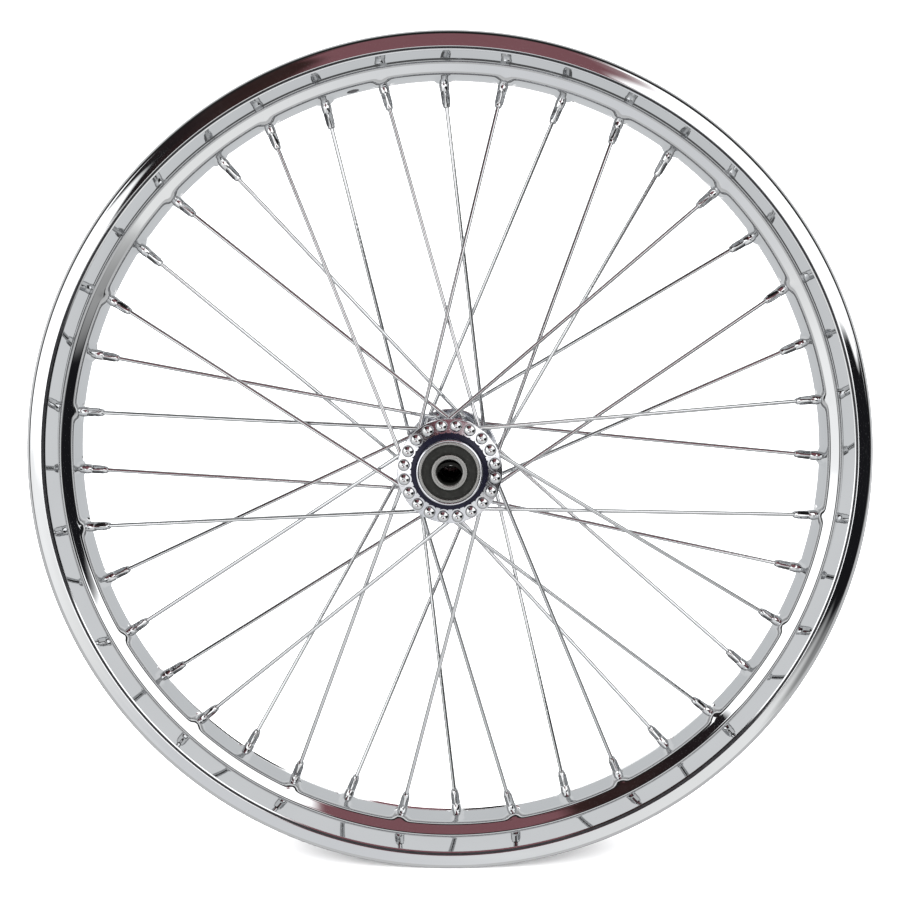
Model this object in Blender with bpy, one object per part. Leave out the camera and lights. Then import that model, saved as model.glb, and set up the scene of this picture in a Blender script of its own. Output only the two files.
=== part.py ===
"""Laced motorcycle wheel: steel drop-centre rim, spool hub, 40 spokes, two sealed bearings.

Metres, +Z up.  The wheel's centre is at the origin and it spins about +Y.
Angles are measured in the XZ plane, from +X towards +Z.
"""
import math

import bmesh
import bpy
from mathutils import Matrix, Vector

MM = 0.001
GAP = 0.3 * MM                      # clearance between pieces that would touch

# Rim: rolled steel section, 21 inch bead seat, 2.15 inch between the flanges
RIM_RADIUS = 279.5 * MM             # crown of the rolled lip
RIM_HALF_WIDTH = 31.5 * MM
RIM_SHEET = 1.8 * MM
RIM_SEGMENTS = 48
LIP_ROLL = 1.5 * MM                 # radius of the rolled edge
SEAT_TAPER = math.radians(5.0)
SEAT_CORNER = (266.6 * MM, 29.0 * MM)   # radius, offset where seat and flange meet
SEAT_WIDTH = 12.5 * MM
WELL_RADIUS = 256.8 * MM            # hub side of the well floor
WELL_FLAT = 11.0 * MM               # half of the floor's flat width
WELL_FILLET = 4.0 * MM
WELL_WALL = math.radians(62.0)
VALVE_ANGLE = math.radians(104.5)
VALVE_HOLE = 4.2 * MM

# Hub: barrel with two drilled flanges and a bearing seat in each end
HUB_END = 44.9 * MM
HUB_SEGMENTS = 24
BARREL_RADIUS = 19.5 * MM
HOUSING_RADIUS = 24.0 * MM
BORE_RADIUS = 16.2 * MM
LIP_RADIUS = 21.3 * MM
FLANGE_RADIUS = 34.5 * MM
FLANGE_FACE = 39.5 * MM
FLANGE_THICK = 4.2 * MM
FLANGE_CHAMFER = 0.5 * MM

# Bearings: 17 x 40 x 12 mm deep-groove, sealed both sides
AXLE_BORE = 8.5 * MM
INNER_LAND = 12.0 * MM
OUTER_LAND = 16.6 * MM
BEARING_RADIUS = 20.0 * MM
BEARING_WIDTH = 12.0 * MM
BEARING_FACE = 44.5 * MM            # outer side face, from the wheel's centre
RACE_DEPTH = 1.1 * MM
BALL_PITCH = 14.3 * MM
BALL_RADIUS = 2.9 * MM
BALL_COUNT = 8
CAGE_RADIUS = 1.2 * MM
SEAL_RECESS = 1.7 * MM
SEAL_THICK = 1.1 * MM
SEAL_RADIUS = 17.7 * MM
SPACER_RADIUS = 11.0 * MM

# Spokes and nipples
SPOKE_COUNT = 40
SPOKE_RADIUS = 1.45 * MM
SPOKE_SIDES = 6
FIRST_SPOKE = math.radians(9.96)
PITCH = math.radians(360.0 / SPOKE_COUNT)
LACING = 3 * 2 * PITCH              # three flange holes round from its rim hole
HEAD_CIRCLE = 30.0 * MM
HEAD_RADIUS = 3.6 * MM
HEAD_HEIGHT = 2.2 * MM
NECK_SHORT = 33.3 * MM              # offset of the elbow on a short-necked spoke
NECK_LONG = 28.3 * MM               # the other spokes pass behind the short ones
ELBOW = 1.9 * MM
RIM_STAGGER = 3.0 * MM              # nipple rows either side of the well's middle
NIPPLE_LENGTH = 17.0 * MM
NIPPLE_TIP = 2.6 * MM
NIPPLE_BASE = 3.3 * MM
NIPPLE_HEAD = 4.4 * MM
NIPPLE_SEAT = 3.0 * MM              # rim floor to the underside of the nipple head
NIPPLE_HEAD_LENGTH = 2.6 * MM
NIPPLE_HOLE = NIPPLE_BASE + 0.6 * MM
SPOKE_HOLE = SPOKE_RADIUS + 0.6 * MM
HOLE_SIDES = 8

# Each spoke's flange (-1 near, 1 far) and the way it leans as it runs to the hub
SPOKE_PATTERN = ((-1, 1), (1, -1), (-1, -1), (1, 1))


def clear_scene():
    """Remove every object that the scene holds."""
    for item in list(bpy.data.objects):
        bpy.data.objects.remove(item, do_unlink=True)


def finish(name, colour, metallic, roughness):
    """Make a Principled material."""
    material = bpy.data.materials.new(name)
    material.use_nodes = True
    shader = material.node_tree.nodes["Principled BSDF"]
    shader.inputs["Base Color"].default_value = (*colour, 1.0)
    shader.inputs["Metallic"].default_value = metallic
    shader.inputs["Roughness"].default_value = roughness
    return material


def polar(radius, angle, offset):
    """Point at a radius and angle round the axle, offset along it."""
    return Vector((radius * math.cos(angle), offset, radius * math.sin(angle)))


def arc(centre, radius, start, end, steps):
    """Points (radius, offset) on an arc; 0 degrees points outwards, 90 towards +Y."""
    points = []
    for step in range(steps + 1):
        angle = math.radians(start + (end - start) * step / steps)
        points.append((centre[0] + radius * math.cos(angle), centre[1] + radius * math.sin(angle)))
    return points


def mirrored(half):
    """Close a half outline with its mirror image across the middle plane."""
    return half + [(radius, -offset) for radius, offset in reversed(half)]


def to_object(name, mesh_data, material, parent):
    """Wrap a finished bmesh as a smooth-shaded object."""
    bmesh.ops.recalc_face_normals(mesh_data, faces=mesh_data.faces)
    mesh = bpy.data.meshes.new(name)
    mesh_data.to_mesh(mesh)
    mesh_data.free()
    mesh.shade_smooth()
    mesh.set_sharp_from_angle(angle=math.radians(32))
    mesh.materials.append(material)
    return place(name, mesh, parent)


def place(name, mesh, parent, turn=0.0):
    """Put a mesh in the scene, turned about the axle."""
    item = bpy.data.objects.new(name, mesh)
    bpy.context.scene.collection.objects.link(item)
    item.parent = parent
    item.rotation_euler = (0.0, -turn, 0.0)
    return item


def turned(name, outline, segments, material, parent):
    """Turn a closed outline of (radius, offset) points about the Y axis."""
    mesh_data = bmesh.new()
    verts = [mesh_data.verts.new((radius, offset, 0.0)) for radius, offset in outline]
    edges = [mesh_data.edges.new((verts[i - 1], verts[i])) for i in range(len(verts))]
    bmesh.ops.spin(mesh_data, geom=verts + edges, cent=(0, 0, 0), axis=(0, 1, 0),
                   angle=math.tau, steps=segments, use_merge=True)
    return to_object(name, mesh_data, material, parent)


def add_loft(mesh_data, stations, sides):
    """Join round sections (centre, axis, radius) into one capped solid."""
    rings = []
    across = stations[0][1].orthogonal().normalized()
    for centre, axis, radius in stations:
        across = (across - axis * across.dot(axis)).normalized()
        upward = axis.cross(across)
        ring = []
        for side in range(sides):
            angle = math.tau * side / sides
            spot = centre + radius * (math.cos(angle) * across + math.sin(angle) * upward)
            ring.append(mesh_data.verts.new(spot))
        rings.append(ring)
    for first, second in zip(rings, rings[1:]):
        for side in range(sides):
            after = (side + 1) % sides
            mesh_data.faces.new((first[side], first[after], second[after], second[side]))
    mesh_data.faces.new(list(reversed(rings[0])))
    mesh_data.faces.new(rings[-1])


def cutter_object(name, mesh_data):
    """Keep a bmesh as a hidden cutting tool."""
    bmesh.ops.recalc_face_normals(mesh_data, faces=mesh_data.faces)
    mesh = bpy.data.meshes.new(name)
    mesh_data.to_mesh(mesh)
    mesh_data.free()
    item = place(name, mesh, None)
    item.hide_render = True
    item.display_type = "WIRE"
    return item


def drill(target, cutter):
    """Cut the tool's shapes out of a piece."""
    modifier = target.modifiers.new("holes", "BOOLEAN")
    modifier.operation = "DIFFERENCE"
    modifier.solver = "EXACT"
    modifier.object = cutter


def spoke_line(side, lean, angle):
    """Elbow corner, rim point and unit direction of the spoke whose rim hole is at an angle."""
    neck = NECK_SHORT if lean > 0 else NECK_LONG
    corner = polar(HEAD_CIRCLE, angle + lean * LACING, side * neck)
    rim_point = polar(WELL_RADIUS, angle, side * RIM_STAGGER)
    return corner, rim_point, (rim_point - corner).normalized()


def rim_outline():
    """Closed section of the rim: hub side from the well floor to the lip, then the tyre side."""
    floor = (WELL_RADIUS, WELL_FLAT)
    wall_turn = math.degrees(WELL_WALL)
    fillet_centre = (WELL_RADIUS + WELL_FILLET, WELL_FLAT)
    fillet = arc(fillet_centre, WELL_FILLET, 180, 180 - wall_turn, 2)
    seat_start = (SEAT_CORNER[0] - SEAT_WIDTH * math.sin(SEAT_TAPER),
                  SEAT_CORNER[1] - SEAT_WIDTH * math.cos(SEAT_TAPER))
    wall_end = (seat_start[0] - 2.0 * MM, seat_start[1] - 1.3 * MM)
    lip_centre = (RIM_RADIUS - LIP_ROLL, RIM_HALF_WIDTH - LIP_ROLL)
    lip = arc(lip_centre, LIP_ROLL, 110, -80, 3)
    flange_base = (SEAT_CORNER[0] + 1.0 * MM, SEAT_CORNER[1] + 0.3 * MM)
    tyre_flange = (SEAT_CORNER[0] + RIM_SHEET + 1.0 * MM, SEAT_CORNER[1] - RIM_SHEET)
    tyre_seat = (SEAT_CORNER[0] + RIM_SHEET, SEAT_CORNER[1] - RIM_SHEET - 1.0 * MM)
    tyre_wall = (seat_start[0] + RIM_SHEET, seat_start[1] - 0.6 * MM)
    tyre_well = (WELL_RADIUS + RIM_SHEET, WELL_FLAT + 0.8 * MM)
    half = [floor] + fillet[1:] + [wall_end, seat_start, SEAT_CORNER, flange_base]
    half += lip + [tyre_flange, tyre_seat, tyre_wall, tyre_well]
    return mirrored(half)


def make_rim(material, parent):
    """Rolled rim with its nipple holes and the valve hole."""
    rim = turned("rim", rim_outline(), RIM_SEGMENTS, material, parent)
    tools = bmesh.new()
    reach = 8.0 * MM
    for index in range(SPOKE_COUNT):
        side, lean = SPOKE_PATTERN[index % 4]
        _, spot, axis = spoke_line(side, lean, FIRST_SPOKE + index * PITCH)
        stations = [(spot + axis * step, axis, NIPPLE_HOLE) for step in (-reach, reach)]
        add_loft(tools, stations, HOLE_SIDES)
    outwards = polar(1.0, VALVE_ANGLE, 0.0)
    stations = [(outwards * (WELL_RADIUS + step), outwards, VALVE_HOLE) for step in (-reach, reach)]
    add_loft(tools, stations, 2 * HOLE_SIDES)
    drill(rim, cutter_object("rim_hole_tools", tools))
    return rim


def make_hub(material, parent):
    """Spool hub: two drilled flanges, bearing seats and a through bore."""
    seat_radius = BEARING_RADIUS + GAP
    seat_end = BEARING_FACE - BEARING_WIDTH - GAP
    inner_face = FLANGE_FACE - FLANGE_THICK
    half = [
        (BARREL_RADIUS, inner_face - 15.0 * MM),
        (HOUSING_RADIUS, inner_face - 6.4 * MM),
        (HOUSING_RADIUS, inner_face - 2.4 * MM),
        (HOUSING_RADIUS + 2.4 * MM, inner_face),
        (FLANGE_RADIUS - FLANGE_CHAMFER, inner_face),
        (FLANGE_RADIUS, inner_face + FLANGE_CHAMFER),
        (FLANGE_RADIUS, FLANGE_FACE - FLANGE_CHAMFER),
        (FLANGE_RADIUS - FLANGE_CHAMFER, FLANGE_FACE),
        (HOUSING_RADIUS + 0.6 * MM, FLANGE_FACE),
        (LIP_RADIUS + 1.2 * MM, FLANGE_FACE + 1.8 * MM),
        (LIP_RADIUS, HUB_END),
        (seat_radius, HUB_END),
        (seat_radius, seat_end),
        (BORE_RADIUS + 1.0 * MM, seat_end),
        (BORE_RADIUS, seat_end - 3.0 * MM),
    ]
    hub = turned("hub", mirrored(half), HUB_SEGMENTS, material, parent)
    tools = bmesh.new()
    for index in range(SPOKE_COUNT):
        side, lean = SPOKE_PATTERN[index % 4]
        angle = FIRST_SPOKE + index * PITCH + lean * LACING
        axis = Vector((0.0, side, 0.0))
        ends = (inner_face - 1.0 * MM, FLANGE_FACE + 1.0 * MM)
        stations = [(polar(HEAD_CIRCLE, angle, side * end), axis, SPOKE_HOLE) for end in ends]
        add_loft(tools, stations, SPOKE_SIDES)
    drill(hub, cutter_object("hub_hole_tools", tools))
    return hub


def spoke_mesh(name, side, lean, material):
    """One spoke with its nipple screwed on, its rim hole at angle zero."""
    corner, spot, along = spoke_line(side, lean, 0.0)
    inwards = Vector((0.0, -side, 0.0))
    shank = Vector((corner.x, 0.0, corner.z))
    head_base = FLANGE_FACE + GAP

    def on_shank(offset, radius):
        return (shank + Vector((0.0, side * offset, 0.0)), inwards, radius)

    def on_spoke(step, radius):
        return (spot + along * step, along, radius)

    stations = [
        on_shank(head_base + HEAD_HEIGHT, 2.2 * MM),
        on_shank(head_base, HEAD_RADIUS),
        on_shank(head_base, SPOKE_RADIUS),
        on_shank(abs(corner.y) + ELBOW, SPOKE_RADIUS),
        (corner + along * ELBOW, along, SPOKE_RADIUS),
        on_spoke(-NIPPLE_LENGTH, SPOKE_RADIUS),
        on_spoke(-NIPPLE_LENGTH, NIPPLE_TIP),
        on_spoke(-2.0 * MM, NIPPLE_BASE),
        on_spoke(NIPPLE_SEAT, NIPPLE_BASE),
        on_spoke(NIPPLE_SEAT, NIPPLE_HEAD),
        on_spoke(NIPPLE_SEAT + NIPPLE_HEAD_LENGTH, NIPPLE_HEAD),
    ]
    mesh_data = bmesh.new()
    add_loft(mesh_data, stations, SPOKE_SIDES)
    bmesh.ops.recalc_face_normals(mesh_data, faces=mesh_data.faces)
    mesh = bpy.data.meshes.new(name)
    mesh_data.to_mesh(mesh)
    mesh_data.free()
    mesh.shade_smooth()
    mesh.set_sharp_from_angle(angle=math.radians(35))
    mesh.materials.append(material)
    return mesh


def make_spokes(material, parent):
    """Four kinds of spoke, ten of each, laced round the wheel."""
    kinds = [spoke_mesh(f"spoke_kind_{number}", side, lean, material)
             for number, (side, lean) in enumerate(SPOKE_PATTERN, 1)]
    for index in range(SPOKE_COUNT):
        place(f"spoke_{index + 1:02d}", kinds[index % 4], parent, FIRST_SPOKE + index * PITCH)


def make_ball_set(name, middle, material, parent):
    """Balls and the cage that joins them, as one string of beads round the race."""
    mesh_data = bmesh.new()
    sections = []
    half_bead = 0.55 * BALL_RADIUS
    for ball in range(BALL_COUNT):
        centre = math.tau * ball / BALL_COUNT
        spread = half_bead / BALL_PITCH
        edge = 1.6 * spread
        for angle, radius in ((centre - edge, CAGE_RADIUS), (centre - spread, 0.84 * BALL_RADIUS),
                              (centre, BALL_RADIUS), (centre + spread, 0.84 * BALL_RADIUS),
                              (centre + edge, CAGE_RADIUS)):
            sections.append((angle, radius))
    rings = []
    sides = 6
    for angle, radius in sections:
        ring = []
        for side in range(sides):
            turn = math.tau * side / sides
            spot = polar(BALL_PITCH + radius * math.cos(turn), angle, middle + radius * math.sin(turn))
            ring.append(mesh_data.verts.new(spot))
        rings.append(ring)
    for index, ring in enumerate(rings):
        following = rings[(index + 1) % len(rings)]
        for side in range(sides):
            after = (side + 1) % sides
            mesh_data.faces.new((ring[side], ring[after], following[after], following[side]))
    return to_object(name, mesh_data, material, parent)


def make_bearing(label, side, finishes, wheel, axle, cage_parent):
    """Rings, balls and both seals of one bearing; side is -1 near, 1 far."""
    middle = side * (BEARING_FACE - BEARING_WIDTH / 2)
    half_width = BEARING_WIDTH / 2
    race = 2.4 * MM

    def across(points):
        return [(radius, middle + offset) for radius, offset in mirrored(points)]

    recess = half_width - SEAL_RECESS
    outer_half = [(OUTER_LAND + RACE_DEPTH, 0.9 * MM), (OUTER_LAND, race), (OUTER_LAND, recess),
                  (SEAL_RADIUS + GAP, recess), (SEAL_RADIUS + GAP, half_width),
                  (BEARING_RADIUS, half_width)]
    turned(f"{label}_outer_ring", across(outer_half), HUB_SEGMENTS, finishes["ring"], wheel)
    inner_half = [(AXLE_BORE, half_width), (INNER_LAND, half_width), (INNER_LAND, race),
                  (INNER_LAND - RACE_DEPTH, 0.9 * MM)]
    turned(f"{label}_inner_ring", across(inner_half), HUB_SEGMENTS, finishes["ring"], axle)
    make_ball_set(f"{label}_ball_set", middle, finishes["ball"], cage_parent)
    for where, direction in (("outer", side), ("inner", -side)):
        face = middle + direction * (half_width - GAP)
        back = face - direction * SEAL_THICK
        outline = [(INNER_LAND + GAP, face), (SEAL_RADIUS, face), (SEAL_RADIUS, back),
                   (INNER_LAND + GAP, back)]
        turned(f"{label}_{where}_seal", outline, HUB_SEGMENTS, finishes["seal"], wheel)


def make_spacer(material, parent):
    """Tube that keeps the inner rings apart when the axle is tightened."""
    end = BEARING_FACE - BEARING_WIDTH - GAP
    half = [(AXLE_BORE + GAP, end), (SPACER_RADIUS, end)]
    outline = [half[0], half[1], (half[1][0], -end), (half[0][0], -end)]
    turned("bearing_spacer", outline, HUB_SEGMENTS, material, parent)


def empty(name):
    """Parent for the pieces that turn together, on the axle's axis."""
    item = bpy.data.objects.new(name, None)
    bpy.context.scene.collection.objects.link(item)
    return item


def main():
    """Build the wheel."""
    clear_scene()
    chrome = finish("chrome", (0.86, 0.87, 0.88), 1.0, 0.06)
    spoke_chrome = finish("spoke_chrome", (0.80, 0.81, 0.82), 1.0, 0.10)
    finishes = {
        "ring": finish("bearing_steel", (0.62, 0.62, 0.61), 1.0, 0.22),
        "ball": finish("ball_steel", (0.70, 0.70, 0.70), 1.0, 0.12),
        "seal": finish("seal_rubber", (0.030, 0.032, 0.030), 0.0, 0.55),
    }
    steel = finish("plain_steel", (0.42, 0.43, 0.44), 1.0, 0.35)
    wheel = empty("wheel_pivot")
    axle = empty("axle_line")
    make_rim(chrome, wheel)
    make_hub(chrome, wheel)
    make_spokes(spoke_chrome, wheel)
    make_spacer(steel, axle)
    for label, side in (("near_bearing", -1), ("far_bearing", 1)):
        make_bearing(label, side, finishes, wheel, axle, empty(f"{label}_cage_pivot"))


main()
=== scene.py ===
"""Looks of a bare chrome spoked motorcycle wheel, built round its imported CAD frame.

Units are metres.  The wheel turns about +Y, its near side faces -Y and +Z is up.
Angles round the wheel are measured in the XZ plane, from +X towards +Z.
"""
import logging
import math
from dataclasses import dataclass, field
from enum import Enum
from typing import Iterable, Sequence

import bmesh
import bpy
import numpy as np
from mathutils import Matrix, Vector


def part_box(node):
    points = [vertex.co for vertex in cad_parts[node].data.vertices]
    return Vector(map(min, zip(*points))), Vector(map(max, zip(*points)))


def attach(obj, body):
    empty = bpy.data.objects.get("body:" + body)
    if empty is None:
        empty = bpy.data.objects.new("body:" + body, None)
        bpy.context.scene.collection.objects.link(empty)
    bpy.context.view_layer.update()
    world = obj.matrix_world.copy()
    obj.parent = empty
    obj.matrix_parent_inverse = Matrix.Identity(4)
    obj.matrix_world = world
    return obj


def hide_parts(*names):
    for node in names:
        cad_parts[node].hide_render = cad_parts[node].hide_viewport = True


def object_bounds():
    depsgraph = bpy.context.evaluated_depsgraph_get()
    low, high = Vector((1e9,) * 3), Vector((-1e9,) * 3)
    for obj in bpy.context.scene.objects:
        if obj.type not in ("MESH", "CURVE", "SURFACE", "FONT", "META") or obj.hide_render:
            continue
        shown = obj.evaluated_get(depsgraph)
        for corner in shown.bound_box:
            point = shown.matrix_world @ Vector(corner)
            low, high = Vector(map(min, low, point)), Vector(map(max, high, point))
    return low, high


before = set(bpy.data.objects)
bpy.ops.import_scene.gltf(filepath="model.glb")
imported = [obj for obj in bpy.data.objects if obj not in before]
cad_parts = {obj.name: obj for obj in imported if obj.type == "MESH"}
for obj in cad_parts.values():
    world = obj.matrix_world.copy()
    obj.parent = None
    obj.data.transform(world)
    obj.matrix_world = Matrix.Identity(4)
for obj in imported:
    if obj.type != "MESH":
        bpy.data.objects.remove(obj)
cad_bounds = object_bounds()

LOG = logging.getLogger("wheel")
MM = 0.001
TURNED_EDGE = 28.0  # degrees from which an edge of a turned piece stays sharp
STRAIGHT = math.radians(179)  # opening of a corner that needs no rounding
PATTERN_RANGE = (0.3, 0.7)  # values that a noise pattern mostly keeps to

Outline = list[tuple[float, float]]
Corner = tuple[float, float, float]
Colour = tuple[float, float, float]
Stops = list[tuple[float, Colour]]
Cutter = tuple[np.ndarray, list[tuple[int, ...]]]
Station = tuple[Vector, Vector, float]
Socket = bpy.types.NodeSocket


class Side(Enum):
    """Which side of the wheel a piece belongs to, as the sign of its Y."""

    NEAR = -1
    FAR = 1


class Lean(Enum):
    """Way a spoke swings round as it runs from the rim to the hub."""

    BACKWARD = -1
    FORWARD = 1


class NodeBuilder:
    """Adds and links the nodes of one tree."""

    def __init__(self, tree: bpy.types.NodeTree) -> None:
        """Take the tree that the nodes go into."""
        self.tree = tree

    def node(self, kind: str, **settings: object) -> bpy.types.Node:
        """Add a node and set its properties.

        Args:
            kind: Blender's type name of the node.
            settings: Properties to set on it.

        Returns:
            The new node.
        """
        made = self.tree.nodes.new(kind)
        for key, value in settings.items():
            setattr(made, key, value)
        return made

    def feed(self, value: object, target: Socket) -> None:
        """Link a socket, or set a plain value, on an input.

        Args:
            value: Socket to link, or value to set.
            target: Input that takes it.
        """
        if isinstance(value, bpy.types.NodeSocket):
            self.tree.links.new(value, target)
        else:
            target.default_value = value

    def maths(self, operation: str, *values: object) -> Socket:
        """Add a Math node.

        Args:
            operation: Blender's name of the operation.
            values: Sockets or numbers that go in.

        Returns:
            The socket of the result.
        """
        made = self.node("ShaderNodeMath", operation=operation)
        for index, value in enumerate(values):
            self.feed(value, made.inputs[index])
        return made.outputs[0]

    def noise(self, scale: float, detail: float, place: Socket) -> Socket:
        """Add a noise pattern.

        Args:
            scale: Frequency of the pattern.
            detail: Number of finer layers.
            place: Socket of the coordinates.

        Returns:
            The pattern's value.
        """
        pattern = self.node("ShaderNodeTexNoise")
        self.feed(scale, pattern.inputs["Scale"])
        self.feed(detail, pattern.inputs["Detail"])
        self.feed(place, pattern.inputs["Vector"])
        return pattern.outputs["Fac"]


# ---------------------------------------------------------------- finishes


class Shader(NodeBuilder):
    """Builds one node material on the piece's own coordinates."""

    def __init__(self, name: str) -> None:
        """Start a material with an empty Principled shader.

        Args:
            name: Name of the material.
        """
        self.material = bpy.data.materials.new(name)
        self.material.use_nodes = True
        super().__init__(self.material.node_tree)
        self.surface = self.tree.nodes["Principled BSDF"].inputs
        self.place = self.node("ShaderNodeTexCoord").outputs["Object"]

    def cloud(self, scale: float, detail: float) -> Socket:
        """Add a noise pattern with a frequency per metre."""
        return self.noise(scale, detail, self.place)

    def turned_lines(self, pitch: float) -> Socket:
        """Add fine uneven rings about the axle, as a lathe or a grinder leaves.

        Args:
            pitch: Usual distance from ring to ring.

        Returns:
            A value that rises and falls from ring to ring.
        """
        flat = self.node("ShaderNodeVectorMath", operation="MULTIPLY")
        self.feed(self.place, flat.inputs[0])
        self.feed((1, 0, 1), flat.inputs[1])
        length = self.node("ShaderNodeVectorMath", operation="LENGTH")
        self.feed(flat.outputs["Vector"], length.inputs[0])
        rings = self.node("ShaderNodeTexNoise", noise_dimensions="1D")
        self.feed(1 / pitch, rings.inputs["Scale"])
        self.feed(2.0, rings.inputs["Detail"])
        self.feed(length.outputs["Value"], rings.inputs["W"])
        return rings.outputs["Fac"]

    def roughen(self, pattern: Socket, low: float, high: float) -> None:
        """Vary the roughness along a pattern.

        Args:
            pattern: Pattern to follow.
            low: Roughness at the pattern's low end.
            high: Roughness at its high end.
        """
        ranged = self.node("ShaderNodeMapRange")
        ends = zip(("From Min", "From Max", "To Min", "To Max"), (*PATTERN_RANGE, low, high))
        for name, value in ends:
            self.feed(value, ranged.inputs[name])
        self.feed(pattern, ranged.inputs["Value"])
        self.feed(ranged.outputs["Result"], self.surface["Roughness"])

    def tint(self, pattern: Socket, first: Colour, second: Colour) -> None:
        """Blend the base colour between two tints along a pattern.

        Args:
            pattern: Pattern to follow.
            first: Colour at the pattern's low end.
            second: Colour at its high end.
        """
        ramp = self.node("ShaderNodeValToRGB")
        elements = ramp.color_ramp.elements
        for element, position, colour in zip(elements, PATTERN_RANGE, (first, second)):
            element.position = position
            element.color = (*colour, 1)
        self.feed(pattern, ramp.inputs["Fac"])
        self.feed(ramp.outputs["Color"], self.surface["Base Color"])

    def relief(self, pattern: Socket, depth: float, strength: float) -> None:
        """Raise the surface along a pattern.

        Args:
            pattern: Pattern to follow.
            depth: Height of the relief in metres.
            strength: Strength of the effect, 0 to 1.
        """
        bump = self.node("ShaderNodeBump")
        self.feed(strength, bump.inputs["Strength"])
        self.feed(depth, bump.inputs["Distance"])
        self.feed(pattern, bump.inputs["Height"])
        self.feed(bump.outputs["Normal"], self.surface["Normal"])


@dataclass(frozen=True)
class ChromeFinish:
    """Bright plating over polished steel."""

    name: str
    tint: Colour
    haze: float
    wave: float
    wobble: float
    slot: str

    def build(self) -> bpy.types.Material:
        """Make the plated material, with faint haze and polishing waves.

        Returns:
            The material.
        """
        shader = Shader(self.name)
        shader.feed(1.0, shader.surface["Metallic"])
        cooler = tuple(0.965 * part for part in self.tint)
        shader.tint(shader.cloud(scale=22.0, detail=3.0), cooler, self.tint)
        shader.roughen(shader.cloud(scale=55.0, detail=4.0), 0.6 * self.haze, 1.5 * self.haze)
        waves = shader.cloud(scale=1 / self.wave, detail=1.0)
        shader.relief(waves, depth=self.wobble, strength=0.35)
        return shader.material


@dataclass(frozen=True)
class GroundSteelFinish:
    """Bare bearing or turned steel with fine rings about the axle."""

    name: str
    tint: Colour
    roughness: float
    pitch: float
    slot: str

    def build(self) -> bpy.types.Material:
        """Make the bare steel material.

        Returns:
            The material.
        """
        shader = Shader(self.name)
        shader.feed(1.0, shader.surface["Metallic"])
        darker = tuple(0.72 * part for part in self.tint)
        rings = shader.turned_lines(self.pitch)
        shader.tint(rings, darker, self.tint)
        shader.roughen(shader.cloud(scale=260.0, detail=3.0),
                       0.85 * self.roughness, 1.2 * self.roughness)
        shader.relief(rings, depth=0.004 * MM, strength=0.4)
        return shader.material


@dataclass(frozen=True)
class DullFinish:
    """Dark satin metal: the rim's unpolished inside, the hub recess, and painted shade in the lip
    crease, the bores and the spacer tube.
    """

    name: str
    tint: Colour
    roughness: float
    metal: float = 0.6
    gloss: float = 0.5
    slot: str = ""

    def build(self) -> bpy.types.Material:
        """Make the dull material.

        Returns:
            The material.
        """
        shader = Shader(self.name)
        shader.feed(self.metal, shader.surface["Metallic"])
        shader.feed(self.gloss, shader.surface["Specular IOR Level"])
        paler = tuple(1.35 * part + 0.002 for part in self.tint)
        shader.tint(shader.cloud(scale=240.0, detail=4.0), self.tint, paler)
        shader.roughen(shader.cloud(scale=500.0, detail=3.0),
                       0.8 * self.roughness, 1.2 * self.roughness)
        return shader.material


@dataclass(frozen=True)
class RubberFinish:
    """Moulded seal rubber, black with a faint green cast."""

    name: str
    tint: Colour
    slot: str

    def build(self) -> bpy.types.Material:
        """Make the rubber material.

        Returns:
            The material.
        """
        shader = Shader(self.name)
        shader.feed(0.22, shader.surface["Specular IOR Level"])
        paler = tuple(1.5 * part + 0.002 for part in self.tint)
        shader.tint(shader.cloud(scale=300.0, detail=5.0), self.tint, paler)
        shader.roughen(shader.cloud(scale=900.0, detail=3.0), 0.46, 0.62)
        grain = shader.cloud(scale=2600.0, detail=2.0)
        shader.relief(grain, depth=0.02 * MM, strength=0.5)
        return shader.material


Finish = ChromeFinish | GroundSteelFinish | DullFinish | RubberFinish


# ---------------------------------------------------------------- mesh work


def rounded(corners: Sequence[Corner], turn: float = 9.0) -> Outline:
    """Round each corner of a closed outline.

    Args:
        corners: Points (radius, offset, rounding) in order round the outline.
        turn: Degrees that one step of an arc turns through.

    Returns:
        Points (radius, offset) of the rounded outline.
    """
    points: Outline = []
    count = len(corners)
    for index, (radius, offset, rounding) in enumerate(corners):
        here = Vector((radius, offset))
        before = (Vector(corners[index - 1][:2]) - here).normalized()
        after = (Vector(corners[(index + 1) % count][:2]) - here).normalized()
        opening = before.angle(after)
        if rounding <= 0 or opening > STRAIGHT:
            points.append((radius, offset))
            continue
        middle = (before + after).normalized()
        centre = here + middle * (rounding / math.sin(opening / 2))
        first = here + before * (rounding / math.tan(opening / 2)) - centre
        last = here + after * (rounding / math.tan(opening / 2)) - centre
        swing = first.angle_signed(last)
        steps = max(2, math.ceil(abs(math.degrees(swing)) / turn))
        for step in range(steps + 1):
            part = first.copy()
            part.rotate(Matrix.Rotation(-swing * step / steps, 2))
            points.append((centre.x + part.x, centre.y + part.y))
    return points


def mirrored(half: Sequence[Corner]) -> list[Corner]:
    """Close a half outline with its mirror image across the middle plane."""
    return list(half) + [(radius, -offset, rounding)
                         for radius, offset, rounding in reversed(half) if offset != 0.0]


def new_piece(name: str, verts: np.ndarray, faces: Iterable[Sequence[int]],
              sharp: float = 40.0) -> bpy.types.Object:
    """Make a smooth-shaded piece with outward faces.

    Args:
        name: Name of the piece.
        verts: Vertex positions, one row each.
        faces: Vertex indices of each face.
        sharp: Angle in degrees above which an edge stays sharp.

    Returns:
        The object, at the origin.
    """
    mesh = bpy.data.meshes.new(name)
    mesh.from_pydata(verts.tolist(), [], [list(face) for face in faces])
    build = bmesh.new()
    build.from_mesh(mesh)
    bmesh.ops.recalc_face_normals(build, faces=build.faces)
    if build.calc_volume(signed=True) < 0:
        bmesh.ops.reverse_faces(build, faces=build.faces)
    build.to_mesh(mesh)
    build.free()
    mesh.shade_smooth()
    mesh.set_sharp_from_angle(angle=math.radians(sharp))
    piece = bpy.data.objects.new(name, mesh)
    bpy.context.scene.collection.objects.link(piece)
    return piece


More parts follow.
